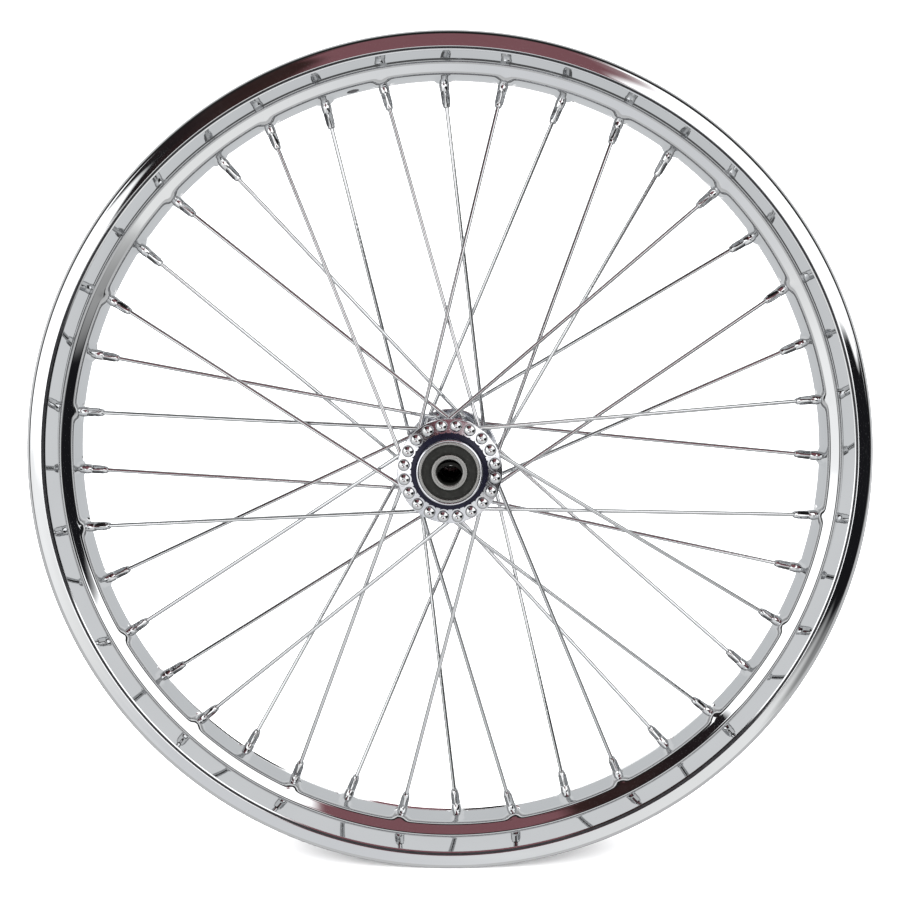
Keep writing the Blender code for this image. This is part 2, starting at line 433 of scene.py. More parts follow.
def ring_faces(rings: int, sides: int, closed: bool) -> list[tuple[int, ...]]:
    """Quads between consecutive rings of vertices.

    Args:
        rings: Number of rings.
        sides: Vertices in each ring.
        closed: Whether the last ring joins the first.

    Returns:
        The quads, and end caps where the rings aren't closed.
    """
    faces: list[tuple[int, ...]] = []
    for ring in range(rings if closed else rings - 1):
        following = (ring + 1) % rings
        for side in range(sides):
            after = (side + 1) % sides
            faces.append((ring * sides + side, ring * sides + after,
                          following * sides + after, following * sides + side))
    if not closed:
        faces.append(tuple(range(sides)))
        faces.append(tuple(range((rings - 1) * sides, rings * sides)))
    return faces


def turned(name: str, outline: Outline, segments: int) -> bpy.types.Object:
    """Turn a closed outline about the axle.

    Args:
        name: Name of the piece.
        outline: Points (radius, offset).
        segments: Number of steps round the axle.

    Returns:
        The turned piece.
    """
    profile = np.array(outline)
    angles = np.arange(segments) * math.tau / segments
    verts = np.empty((segments, len(profile), 3))
    verts[:, :, 0] = np.cos(angles)[:, None] * profile[None, :, 0]
    verts[:, :, 1] = profile[None, :, 1]
    verts[:, :, 2] = np.sin(angles)[:, None] * profile[None, :, 0]
    faces = ring_faces(segments, len(profile), closed=True)
    return new_piece(name, verts.reshape(-1, 3), faces, TURNED_EDGE)


def polar(radius: float, angle: float, offset: float) -> Vector:
    """Point at a radius and angle round the axle, offset along it."""
    return Vector((radius * math.cos(angle), offset, radius * math.sin(angle)))


def basis(axis: Vector) -> np.ndarray:
    """Two unit vectors across an axis and the axis itself, as rows."""
    across = axis.orthogonal().normalized()
    return np.array([across, axis.cross(across), axis])


def rod(centre: Vector, axis: Vector, radius: float, reach: float, sides: int) -> Cutter:
    """Vertices and faces of a round cutter.

    Args:
        centre: Middle of the rod.
        axis: Unit direction.
        radius: Radius of the rod.
        reach: Half of its length.
        sides: Sides of the rod.

    Returns:
        Vertex rows and faces.
    """
    rows = basis(axis)
    angles = np.arange(sides) * math.tau / sides
    circle = np.outer(np.cos(angles), rows[0]) + np.outer(np.sin(angles), rows[1])
    ends = [np.array(centre) + sign * reach * rows[2] + radius * circle for sign in (-1, 1)]
    return np.vstack(ends), ring_faces(2, sides, closed=False)


def cut(piece: bpy.types.Object, rods: Sequence[Cutter], touching: bool = False) -> None:
    """Take several rods out of a piece.

    Args:
        piece: Piece to cut.
        rods: Vertices and faces of each cutter.
        touching: Whether the rods run into each other.
    """
    verts: list[np.ndarray] = []
    faces: list[tuple[int, ...]] = []
    start = 0
    for rod_verts, rod_faces in rods:
        verts.append(rod_verts)
        faces += [tuple(start + index for index in face) for face in rod_faces]
        start += len(rod_verts)
    tool = new_piece(piece.name + "_tool", np.vstack(verts), faces)
    modifier = piece.modifiers.new("cut", "BOOLEAN")
    modifier.operation = "DIFFERENCE"
    modifier.solver = "EXACT"
    modifier.use_self = touching
    modifier.object = tool
    apply_modifiers(piece)
    bpy.data.objects.remove(tool, do_unlink=True)
    piece.data.shade_smooth()
    piece.data.set_sharp_from_angle(angle=math.radians(TURNED_EDGE))


def dress_band(piece: bpy.types.Object, material: bpy.types.Material,
               radii: tuple[float, float], offsets: tuple[float, float]) -> None:
    """Give a second material to the faces in a band round the axle, on both sides.

    Args:
        piece: Piece to dress.
        material: Material of the band.
        radii: Smallest and largest radius of the band.
        offsets: Smallest and largest distance from the middle plane.
    """
    piece.data.materials.append(material)
    for face in piece.data.polygons:
        radius = math.hypot(face.center.x, face.center.z)
        if radii[0] < radius < radii[1] and offsets[0] < abs(face.center.y) < offsets[1]:
            face.material_index = len(piece.data.materials) - 1


def apply_modifiers(piece: bpy.types.Object) -> None:
    """Replace a piece's mesh with its evaluated mesh and drop the modifiers.

    Args:
        piece: Piece whose modifiers are applied.
    """
    evaluated = piece.evaluated_get(bpy.context.evaluated_depsgraph_get())
    mesh = bpy.data.meshes.new_from_object(evaluated)
    piece.modifiers.clear()
    old = piece.data
    piece.data = mesh
    mesh.name = piece.name
    bpy.data.meshes.remove(old)


def keep_flats(piece: bpy.types.Object) -> None:
    """Shade broad flats as flats, up to the roundings beside them.

    Args:
        piece: Piece to shade.
    """
    modifier = piece.modifiers.new("flats", "WEIGHTED_NORMAL")
    modifier.mode = "FACE_AREA"
    modifier.keep_sharp = True
    apply_modifiers(piece)


class NodeGraph(NodeBuilder):
    """Builds one Geometry Nodes tree with named inputs."""

    def __init__(self, name: str) -> None:
        """Start a tree with a geometry input and output.

        Args:
            name: Name of the tree.
        """
        super().__init__(bpy.data.node_groups.new(name, "GeometryNodeTree"))
        for way in ("INPUT", "OUTPUT"):
            self.tree.interface.new_socket("Geometry", in_out=way,
                                           socket_type="NodeSocketGeometry")
        self.values: dict[str, object] = {}
        self.entry = self.node("NodeGroupInput")
        self.exit = self.node("NodeGroupOutput")

    def given(self, name: str, kind: str, value: object) -> Socket:
        """Add a named input.

        Args:
            name: Name that the input shows.
            kind: Float, Int or Material.
            value: Value that the modifier sets.

        Returns:
            The socket inside the tree.
        """
        socket = self.tree.interface.new_socket(name, in_out="INPUT",
                                                socket_type=f"NodeSocket{kind}")
        self.values[socket.identifier] = value
        return self.entry.outputs[name]

    def finish(self, geometry: Socket, material: Socket) -> None:
        """Close the tree with Realize Instances and Set Material.

        Args:
            geometry: Geometry to put out.
            material: Material input of the tree.
        """
        solid = self.node("GeometryNodeRealizeInstances")
        dressed = self.node("GeometryNodeSetMaterial")
        self.feed(geometry, solid.inputs["Geometry"])
        self.feed(solid.outputs["Geometry"], dressed.inputs["Geometry"])
        self.feed(material, dressed.inputs["Material"])
        self.feed(dressed.outputs["Geometry"], self.exit.inputs["Geometry"])

    def run(self, piece: bpy.types.Object) -> None:
        """Run the tree on a piece and keep the result as its mesh.

        Args:
            piece: Piece that the tree takes in.
        """
        modifier = piece.modifiers.new(self.tree.name, "NODES")
        modifier.node_group = self.tree
        for identifier, value in self.values.items():
            modifier[identifier] = value
        apply_modifiers(piece)


def repeat_round(piece: bpy.types.Object, count: int, first: float,
                 material: bpy.types.Material) -> None:
    """Repeat a piece evenly round the axle with Geometry Nodes.

    Args:
        piece: Piece whose own place is at angle zero.
        count: Number of copies.
        first: Angle of the first copy.
        material: Material of the copies.
    """
    graph = NodeGraph("repeat round the axle")
    copies = graph.given("Count", "Int", count)
    start = graph.given("First angle", "Float", first)
    dress = graph.given("Material", "Material", material)
    points = graph.node("GeometryNodeMeshLine")
    graph.feed(copies, points.inputs["Count"])
    graph.feed((0, 0, 0), points.inputs["Offset"])
    index = graph.node("GeometryNodeInputIndex").outputs[0]
    step = graph.maths("DIVIDE", math.tau, copies)
    angle = graph.maths("MULTIPLY_ADD", index, step, start)
    turn = graph.node("ShaderNodeCombineXYZ")
    graph.feed(graph.maths("MULTIPLY", angle, -1.0), turn.inputs["Y"])
    place = graph.node("GeometryNodeInstanceOnPoints")
    graph.feed(points.outputs["Mesh"], place.inputs["Points"])
    graph.feed(graph.entry.outputs["Geometry"], place.inputs["Instance"])
    graph.feed(turn.outputs[0], place.inputs["Rotation"])
    graph.finish(place.outputs["Instances"], dress)
    graph.run(piece)


def deliver(piece: bpy.types.Object, body: str, slot: str, *nodes: str) -> None:
    """Hand a finished piece to the frame.

    Args:
        piece: The finished piece.
        body: CAD body that it moves with.
        slot: Material slot of the record; not used.
        nodes: CAD nodes that it stands for.
    """
    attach(piece, body)
    if nodes:
        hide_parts(*nodes)
    piece.data.calc_loop_triangles()
    LOG.info("%s: %d triangles", piece.name, len(piece.data.loop_triangles))


# ---------------------------------------------------------------- sub-assemblies


@dataclass
class Lacing:
    """Where the forty spokes run, in four kinds that take turns round the rim."""

    count: int = 40
    first: float = math.radians(9.96)
    swing: float = math.radians(54.0)
    head_circle: float = 30.0 * MM
    short_neck: float = 33.3 * MM
    long_neck: float = 28.3 * MM
    well_radius: float = 256.8 * MM
    stagger: float = 3.0 * MM
    pattern: tuple[tuple[Side, Lean], ...] = (
        (Side.NEAR, Lean.FORWARD), (Side.FAR, Lean.BACKWARD),
        (Side.NEAR, Lean.BACKWARD), (Side.FAR, Lean.FORWARD))

    @property
    def pitch(self) -> float:
        """Angle from one rim hole to the next."""
        return math.tau / self.count

    def line(self, side: Side, lean: Lean) -> tuple[Vector, Vector, Vector]:
        """Course of a spoke whose rim hole is at angle zero.

        Args:
            side: Flange that the spoke hangs on.
            lean: Way it swings towards the hub.

        Returns:
            Corner of the elbow, point on the well floor, unit direction from one to the other.
        """
        neck = self.short_neck if lean is Lean.FORWARD else self.long_neck
        corner = polar(self.head_circle, lean.value * self.swing, side.value * neck)
        rim_point = polar(self.well_radius, 0.0, side.value * self.stagger)
        return corner, rim_point, (rim_point - corner).normalized()

    def head_angles(self, side: Side) -> list[float]:
        """Angles of the spoke heads on one flange.

        Args:
            side: The flange.

        Returns:
            Angles round the axle, one for each spoke.
        """
        return [self.first + index * self.pitch + lean.value * self.swing
                for index in range(self.count)
                for place, lean in (self.pattern[index % len(self.pattern)],) if place is side]

    def nodes(self, kind: int) -> list[str]:
        """Names of the CAD spokes of one kind in the pattern."""
        return [f"spoke_{index + 1:02d}" for index in range(kind, self.count, len(self.pattern))]


@dataclass
class Rim:
    """Rolled drop-centre rim with pressed dimples and a valve hole."""

    lacing: Lacing
    finish: ChromeFinish
    crease_shade_finish: DullFinish
    inside_finish: DullFinish
    segments: int = 760
    lip_radius: float = field(init=False)
    half_width: float = field(init=False)
    sheet: float = 1.8 * MM
    crease_radius: float = 266.9 * MM
    crease_offset: float = 29.6 * MM
    seat_start: tuple[float, float] = (264.4 * MM, 13.7 * MM)
    wall_foot: float = 9.3 * MM
    dimple_height: float = 2.3 * MM
    dimple_top: float = 3.6 * MM
    dimple_reach: float = 8.4 * MM
    hidden_edge: float = 4.2 * MM
    hole_band: float = 8.0 * MM
    valve_angle: float = math.radians(104.5)
    valve_radius: float = 4.2 * MM

    def __post_init__(self) -> None:
        """Take the overall sizes from the CAD rim."""
        low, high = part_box("rim")
        self.lip_radius = min(high[0], high[2]) - 0.02 * MM
        self.half_width = high[1]

    def outline(self) -> Outline:
        """Section of the rim, from the middle to the lip and back along the tyre side.

        Returns:
            Points (radius, offset) of the closed section.
        """
        well = self.lacing.well_radius
        edge = self.lip_radius
        half = [
            (well, 3.0 * MM, 0.0),
            (well, self.wall_foot, 4.4 * MM),
            (*self.seat_start, 4.4 * MM),
            (self.crease_radius, self.crease_offset, 0.3 * MM),
            (self.crease_radius + 0.9 * MM, self.crease_offset + 0.35 * MM, 0.25 * MM),
            (self.crease_radius + 1.5 * MM, self.half_width, 1.5 * MM),
            (edge - 3.2 * MM, self.half_width - 0.5 * MM, 3.2 * MM),
            (edge, self.half_width - 2.0 * MM, 1.5 * MM),
            (edge, self.half_width - 4.1 * MM, 0.8 * MM),
            (edge - 2.4 * MM, self.half_width - 3.5 * MM, 0.8 * MM),
            (self.crease_radius + 2.4 * MM, self.crease_offset - 1.2 * MM, 2.6 * MM),
            (self.seat_start[0] + self.sheet, self.seat_start[1] - 0.6 * MM, 2.6 * MM),
            (well + self.sheet, self.wall_foot - 1.1 * MM, 2.6 * MM),
            (well + self.sheet, 3.0 * MM, 0.0),
        ]
        return rounded(mirrored(half), turn=16.0)

    def press_dimples(self, piece: bpy.types.Object, material: bpy.types.Material) -> None:
        """Press a dimple at each nipple, square to its spoke, with Geometry Nodes.

        Args:
            piece: The plain rim.
            material: Its finish.
        """
        _, _, along = self.lacing.line(Side.FAR, Lean.FORWARD)
        graph = NodeGraph("nipple dimples")
        first = graph.given("First angle", "Float", self.lacing.first)
        pitch = graph.given("Pitch", "Float", self.lacing.pitch)
        stagger = graph.given("Row offset", "Float", self.lacing.stagger)
        height = graph.given("Height", "Float", self.dimple_height)
        top = graph.given("Top radius", "Float", self.dimple_top)
        reach = graph.given("Reach", "Float", self.dimple_reach)
        side_tilt = graph.given("Tilt round", "Float", abs(along.z / along.x))
        row_tilt = graph.given("Tilt across", "Float", abs(along.y / along.x))
        dress = graph.given("Material", "Material", material)

        spot = graph.node("ShaderNodeSeparateXYZ")
        graph.feed(graph.node("GeometryNodeInputPosition").outputs[0], spot.inputs[0])
        angle = graph.maths("ARCTAN2", spot.outputs["Z"], spot.outputs["X"])
        turned_by = graph.maths("SUBTRACT", angle, first)
        hole = graph.maths("ROUND", graph.maths("DIVIDE", turned_by, pitch))
        row = graph.maths("MULTIPLY_ADD", graph.maths("FLOORED_MODULO", hole, 2.0), 2.0, -1.0)
        kind = graph.maths("FLOORED_MODULO", hole, float(len(self.lacing.pattern)))
        from_middle = graph.maths("ABSOLUTE", graph.maths("SUBTRACT", kind, 1.5))
        outer_kind = graph.maths("GREATER_THAN", from_middle, 1.0)
        lean = graph.maths("MULTIPLY_ADD", outer_kind, 2.0, -1.0)
        hole_angle = graph.maths("MULTIPLY_ADD", hole, pitch, first)
        off_angle = graph.maths("SUBTRACT", angle, hole_angle)
        round_by = graph.maths("MULTIPLY", off_angle, self.lacing.well_radius)
        row_offset = graph.maths("MULTIPLY", row, stagger)
        across_by = graph.maths("SUBTRACT", spot.outputs["Y"], row_offset)
        squares = [graph.maths("MULTIPLY", part, part) for part in (round_by, across_by)]
        away = graph.maths("SQRT", graph.maths("ADD", *squares))
        fade = graph.node("ShaderNodeMapRange", interpolation_type="SMOOTHERSTEP")
        graph.feed(away, fade.inputs["Value"])
        graph.feed(top, fade.inputs["From Min"])
        graph.feed(reach, fade.inputs["From Max"])
        graph.feed(1.0, fade.inputs["To Min"])
        graph.feed(0.0, fade.inputs["To Max"])
        tilt_round = graph.maths("MULTIPLY", graph.maths("MULTIPLY", lean, side_tilt), round_by)
        tilt_row = graph.maths("MULTIPLY", graph.maths("MULTIPLY", row, row_tilt), across_by)
        raised = graph.maths("SUBTRACT", graph.maths("ADD", tilt_round, tilt_row), height)
        shift = graph.maths("MULTIPLY", raised, fade.outputs["Result"])
        outwards = graph.node("ShaderNodeCombineXYZ")
        for part, axis in (("COSINE", "X"), ("SINE", "Z")):
            moved = graph.maths("MULTIPLY", graph.maths(part, angle), shift)
            graph.feed(moved, outwards.inputs[axis])
        move = graph.node("GeometryNodeSetPosition")
        graph.feed(graph.entry.outputs["Geometry"], move.inputs["Geometry"])
        graph.feed(outwards.outputs[0], move.inputs["Offset"])
        graph.finish(move.outputs["Geometry"], dress)
        graph.run(piece)

    def dull_inside(self, piece: bpy.types.Object) -> None:
        """Give the unpolished plating to the faces that the tyre and the valve hide.

        Args:
            piece: The finished rim.
        """
        piece.data.materials.append(self.inside_finish.build())
        for face in piece.data.polygons:
            radius = math.hypot(face.center.x, face.center.z)
            offset = abs(face.center.y)
            outwards = (face.normal.x * face.center.x + face.normal.z * face.center.z) / radius
            in_hole = radius > self.lacing.well_radius + 0.3 * MM and offset < self.hole_band
            hidden = offset < self.half_width - self.hidden_edge
            if hidden and (outwards > 0.05 or in_hole):
                face.material_index = len(piece.data.materials) - 1

    def build(self) -> None:
        """Make the rim and hand it over."""
        material = self.finish.build()
        piece = turned("rim_shell", self.outline(), self.segments)
        self.press_dimples(piece, material)
        outwards = polar(1.0, self.valve_angle, 0.0)
        middle = outwards * self.lacing.well_radius
        cut(piece, [rod(middle, outwards, self.valve_radius, reach=6 * MM, sides=40)])
        self.dull_inside(piece)
        # Painted shade: a near-black band in the crease under the rolled lip.
        crease_shade_radii = (self.crease_radius + 0.6 * MM, self.crease_radius + 1.9 * MM)
        crease_shade_offsets = (self.crease_offset - 0.35 * MM, self.half_width)
        dress_band(piece, self.crease_shade_finish.build(), crease_shade_radii, crease_shade_offsets)
        deliver(piece, "wheel", self.finish.slot, "rim")


@dataclass
class SpokeSet:
    """Spokes and nipples, four kinds of each, ten round the wheel."""

    lacing: Lacing
    spoke_finish: ChromeFinish
    nipple_finish: ChromeFinish
    face: float
    wire: float = 1.45 * MM
    sides: int = 16
    head_radius: float = 3.95 * MM
    head_height: float = 2.3 * MM
    head_seat: float = 0.35 * MM
    elbow: float = 2.2 * MM
    dome_start: float = 20.0
    dome_steps: int = 7
    # Share of the head's radius and depth below its crown
    dent: tuple[tuple[float, float], ...] = (
        (0.04, 0.42 * MM), (0.20, 0.36 * MM), (0.26, 0.16 * MM))
    butt: float = 1.12
    swage: float = 1.06
    swage_start: float = 16.0 * MM
    swage_length: float = 4.0 * MM
    bend_steps: int = 8
    nipple_length: float = 18.0 * MM
    nipple_flat: float = 2.45 * MM
    nipple_sides: int = 32

    def head(self, foot: Vector, inwards: Vector) -> list[Station]:
        """Sections of a spoke's head, from its dented crown to the neck under it.

        Args:
            foot: Middle of the head's underside.
            inwards: Direction from the head along the neck.

        Returns:
            Centre, direction and radius of each section.
        """
        sections = [(foot - inwards * (self.head_height - depth), inwards, share * self.head_radius)
                    for share, depth in self.dent]
        for step in range(self.dome_steps + 1):
            turn = math.radians(self.dome_start + (90 - self.dome_start) * step / self.dome_steps)
            lift = self.head_height * (0.22 + 0.78 * math.cos(turn))
            sections.append((foot - inwards * lift, inwards, self.head_radius * math.sin(turn)))
        sections.append((foot - inwards * 0.05 * MM, inwards, self.head_radius))
        sections.append((foot, inwards, 0.96 * self.head_radius))
        sections.append((foot, inwards, 1.15 * self.wire))
        sections.append((foot + inwards * 1.0 * MM, inwards, self.butt * self.wire))
        return sections

    def stations(self, side: Side, lean: Lean) -> list[Station]:
        """Sections of a spoke from the top of its head to its threaded end.

        Args:
            side: Flange that it hangs on.
            lean: Way it swings towards the hub.

        Returns:
            Centre, unit direction and radius of each section.
        """
        corner, spot, along = self.lacing.line(side, lean)
        inwards = Vector((0, -side.value, 0))
        foot = Vector((corner.x, side.value * (self.face - self.head_seat), corner.z))
        sections = self.head(foot, inwards)
        bend = inwards.angle(along)
        start = corner - inwards * (self.elbow * math.tan(bend / 2))
        centre_way = (along - inwards * along.dot(inwards)).normalized()
        centre = start + centre_way * self.elbow
        for step in range(self.bend_steps + 1):
            share = step / self.bend_steps
            turn = bend * share
            heading = inwards * math.cos(turn) + centre_way * math.sin(turn)
            radial = inwards * math.sin(turn) - centre_way * math.cos(turn)
            thickness = self.butt + (self.swage - self.butt) * share
            sections.append((centre + radial * self.elbow, heading, self.wire * thickness))
        swage = corner + along * self.swage_start
        sections.append((swage, along, self.swage * self.wire))
        sections.append((swage + along * self.swage_length, along, self.wire))
        reach = (spot - corner).length
        for share in (0.35, 0.6, 0.85):
            sections.append((corner + along * reach * share, along, self.wire))
        sections.append((spot - along * self.nipple_length, along, self.wire))
        sections.append((spot - along * 1.0 * MM, along, self.wire))
        return sections

    def spoke(self, name: str, side: Side, lean: Lean) -> bpy.types.Object:
        """Sweep one spoke with its rim hole at angle zero.

        Args:
            name: Name of the piece.
            side: Flange that it hangs on.
            lean: Way it swings towards the hub.

        Returns:
            The spoke.
        """
        across = None
        rings = []
        angles = np.arange(self.sides) * math.tau / self.sides
        for centre, heading, radius in self.stations(side, lean):
            guide = heading.orthogonal() if across is None else across
            across = (guide - heading * guide.dot(heading)).normalized()
            upward = heading.cross(across)
            circle = np.outer(np.cos(angles), across) + np.outer(np.sin(angles), upward)
            rings.append(np.array(centre) + radius * circle)
        faces = ring_faces(len(rings), self.sides, closed=False)
        return new_piece(name, np.vstack(rings), faces, sharp=50.0)

    def nipple(self, name: str, side: Side, lean: Lean) -> bpy.types.Object:
        """Turn one nipple with four wrench flats and set it on its spoke.

        Args:
            name: Name of the piece.
            side: Flange that its spoke hangs on.
            lean: Way the spoke swings.

        Returns:
            The nipple.
        """
        _, spot, along = self.lacing.line(side, lean)
        rows = basis(along)
        bore = self.wire + 0.08 * MM
        end, flat = -self.nipple_length, self.nipple_flat
        # Distance along the spoke past the well floor, radius, half width over the flats or 0
        profile = (
            (end, bore, 0), (end, 2.15 * MM, 0), (end + 0.5 * MM, 2.55 * MM, 0),
            (end + 1.6 * MM, 2.62 * MM, 0), (end + 2.2 * MM, 2.75 * MM, flat),
            (end + 3.0 * MM, 3.05 * MM, flat), (end + 9.0 * MM, 3.15 * MM, flat),
            (end + 10.2 * MM, 3.2 * MM, flat), (end + 10.6 * MM, 3.3 * MM, 0),
            (end + 12.4 * MM, 3.55 * MM, 0), (-4.2 * MM, 3.65 * MM, 0), (-3.0 * MM, 3.6 * MM, 0),
            (-2.2 * MM, 3.3 * MM, 0), (2.2 * MM, 3.3 * MM, 0), (3.2 * MM, 4.5 * MM, 0),
            (4.6 * MM, 4.6 * MM, 0), (5.3 * MM, 4.2 * MM, 0), (5.6 * MM, 3.4 * MM, 0),
            (5.6 * MM, bore, 0))
        angles = np.arange(self.nipple_sides) * math.tau / self.nipple_sides
        cosine, sine = np.cos(angles), np.sin(angles)
        widest = np.maximum(np.abs(cosine), np.abs(sine))
        rings = []
        for step, radius, half in profile:
            reach = np.full(self.nipple_sides, radius)
            if half:
                reach = np.minimum(reach, half / widest)
            circle = np.outer(reach * cosine, rows[0]) + np.outer(reach * sine, rows[1])
            rings.append(np.array(spot) + step * rows[2] + circle)
        faces = ring_faces(len(rings), self.nipple_sides, closed=True)
        return new_piece(name, np.vstack(rings), faces, sharp=32.0)

    def build(self) -> None:
        """Make the four kinds of spoke and nipple and repeat them round the wheel."""
        plating = self.spoke_finish.build()
        nipple_plating = self.nipple_finish.build()
        share = self.lacing.count // len(self.lacing.pattern)
        for kind, (side, lean) in enumerate(self.lacing.pattern):
            label = f"{side.name.lower()}_{lean.name.lower()}"
            start = self.lacing.first + kind * self.lacing.pitch
            spokes = self.spoke(f"spokes_{label}", side, lean)
            repeat_round(spokes, share, start, plating)
            deliver(spokes, "wheel", self.spoke_finish.slot, *self.lacing.nodes(kind))
            nipples = self.nipple(f"nipples_{label}", side, lean)
            repeat_round(nipples, share, start, nipple_plating)
            deliver(nipples, "wheel", self.nipple_finish.slot)


@dataclass
class Hub:
    """Spool hub with spot-faced flanges."""

    lacing: Lacing
    finish: ChromeFinish
    recess_finish: DullFinish
    bore_shade_finish: DullFinish
    segments: int = 180
    flange_radius: float = field(init=False)
    end: float = field(init=False)
    face: float = 39.5 * MM
    flange: float = 4.2 * MM
    bearing_radius: float = 20.0 * MM
    housing: float = 24.0 * MM
    barrel: float = 19.5 * MM
    seat_length: float = 12.3 * MM
    bore: float = 16.9 * MM
    mouth: float = 21.3 * MM
    spot_face: float = 4.9 * MM
    spot_depth: float = 0.35 * MM

    def __post_init__(self) -> None:
        """Take the overall sizes from the CAD hub."""
        low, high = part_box("hub")
        self.flange_radius = high[0]
        self.end = high[1]

    def outline(self) -> Outline:
        """Section of the hub, both ends.

        Returns:
            Points (radius, offset) of the closed section.
        """
        inner = self.face - self.flange
        seat = self.bearing_radius + 0.1 * MM
        seat_end = self.end - 0.4 * MM - self.seat_length
        half = [
            (self.barrel, inner - 17 * MM, 6 * MM),
            (self.housing, inner - 7 * MM, 5 * MM),
            (self.housing, inner - 0.01 * MM, 2.6 * MM),
            (self.flange_radius, inner, 0.9 * MM),
            (self.flange_radius, self.face, 0.9 * MM),
            (self.housing + 0.9 * MM, self.face, 1.2 * MM),
            (self.mouth + 0.5 * MM, self.face + 1.4 * MM, 1.6 * MM),
            (self.mouth, self.end, 0.35 * MM),
            (seat, self.end, 0.3 * MM),
            (seat, seat_end, 0.0),
            (self.bore + 1.0 * MM, seat_end, 0.3 * MM),
            (self.bore, seat_end - 3 * MM, 1.0 * MM),
        ]
        return rounded(mirrored(half), turn=12.0)

    def build(self) -> None:
        """Make the hub, spot-face its flanges, and hand it over."""
        piece = turned("hub_body", self.outline(), self.segments)
        rods = []
        clear = 4 * MM
        for side in Side:
            axis = Vector((0, side.value, 0))
            for angle in self.lacing.head_angles(side):
                middle = polar(self.lacing.head_circle, angle, side.value * (self.face + clear))
                reach = clear + self.spot_depth
                rods.append(rod(middle, axis, self.spot_face, reach, sides=36))
        cut(piece, rods, touching=True)
        keep_flats(piece)
        piece.data.materials.clear()
        piece.data.materials.append(self.finish.build())
        # A near-black, faintly blue band on the recess between the bearing mouth and the flange
        # face.
        dress_band(piece, self.recess_finish.build(),
                   (self.mouth + 0.5 * MM, self.housing + 1.9 * MM),
                   (self.face - self.spot_depth - 0.1 * MM, self.end))
        # Painted shade: the hub's bore is near-black and shineless.
        dress_band(piece, self.bore_shade_finish.build(), (0.0, self.bore + 1.1 * MM), (-MM, self.end))
        deliver(piece, "wheel", self.finish.slot, "hub")


